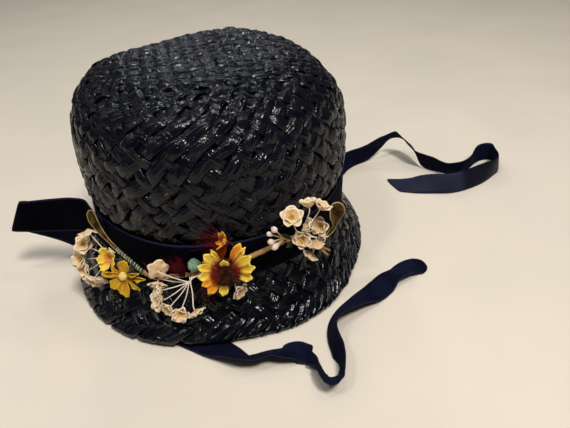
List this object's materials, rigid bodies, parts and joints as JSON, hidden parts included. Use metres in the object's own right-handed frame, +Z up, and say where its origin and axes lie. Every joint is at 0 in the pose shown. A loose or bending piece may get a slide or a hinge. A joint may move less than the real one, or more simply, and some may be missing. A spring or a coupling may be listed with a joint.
{
  "type": "straw hat",
  "caption": "Small deep-crowned hat of glossy plaited dark straw with a short sloping brim, velvet band, side loop, loose chin ties and a spray of cloth flowers.",
  "frame": {"origin": "on the surface that the rim stands on, under the middle of the hat's box without its two loose ties", "axes": "+Z up through the crown, -Y towards the front with the flowers, +X to the wearer's left"},
  "size_m": [0.3761, 0.2615, 0.1405],
  "materials": {
    "straw": "gloss, plaited",
    "velvet": "velvet pile, satin back",
    "bound_stem": "paper and thread bound wire",
    "cream_cloth": "matt",
    "yellow_cloth": "matt",
    "orange_cloth": "matt",
    "brown_plush": "pile",
    "green_cloth": "matt",
    "dark_green_cloth": "matt",
    "red_feather": "feathery",
    "leaf_velvet": "velvet, piped edge"
  },
  "bodies": {
    "root": {"crown": "straw", "brim": "straw", "band": "velvet", "side_loop": "velvet", "front_tie": "velvet", "rear_tie": "velvet", "garland_stem": "bound_stem", "blossom_left_1": "cream_cloth", "blossom_left_2": "cream_cloth", "blossom_left_3": "cream_cloth", "blossom_left_4": "cream_cloth", "blossom_left_5": "cream_cloth", "blossom_left_6": "cream_cloth", "blossom_middle_1": "cream_cloth", "blossom_middle_2": "cream_cloth", "blossom_middle_3": "cream_cloth", "blossom_middle_4": "cream_cloth", "blossom_middle_5": "cream_cloth", "blossom_middle_6": "cream_cloth", "blossom_middle_7": "cream_cloth", "blossom_pendant_1": "cream_cloth", "blossom_right_1": "cream_cloth", "blossom_right_2": "cream_cloth", "blossom_right_3": "cream_cloth", "blossom_right_4": "cream_cloth", "blossom_right_5": "cream_cloth", "blossom_right_6": "cream_cloth", "blossom_right_7": "cream_cloth", "blossom_right_8": "cream_cloth", "blossom_right_9": "cream_cloth", "sunflower_petals": "yellow_cloth", "sunflower_eye": "brown_plush", "calyx": "green_cloth", "yellow_daisy": "yellow_cloth", "yellow_trumpet": "yellow_cloth", "orange_bud": "orange_cloth", "left_leaf": "leaf_velvet", "right_leaf": "leaf_velvet", "bud_1": "cream_cloth", "bud_2": "cream_cloth", "bud_3": "cream_cloth", "bud_4": "cream_cloth", "small_leaf_1": "dark_green_cloth", "small_leaf_2": "dark_green_cloth", "small_leaf_3": "dark_green_cloth", "red_tuft_1": "red_feather", "red_tuft_2": "red_feather", "red_tuft_3": "red_feather", "red_tuft_4": "red_feather"}
  },
  "joints": []
}
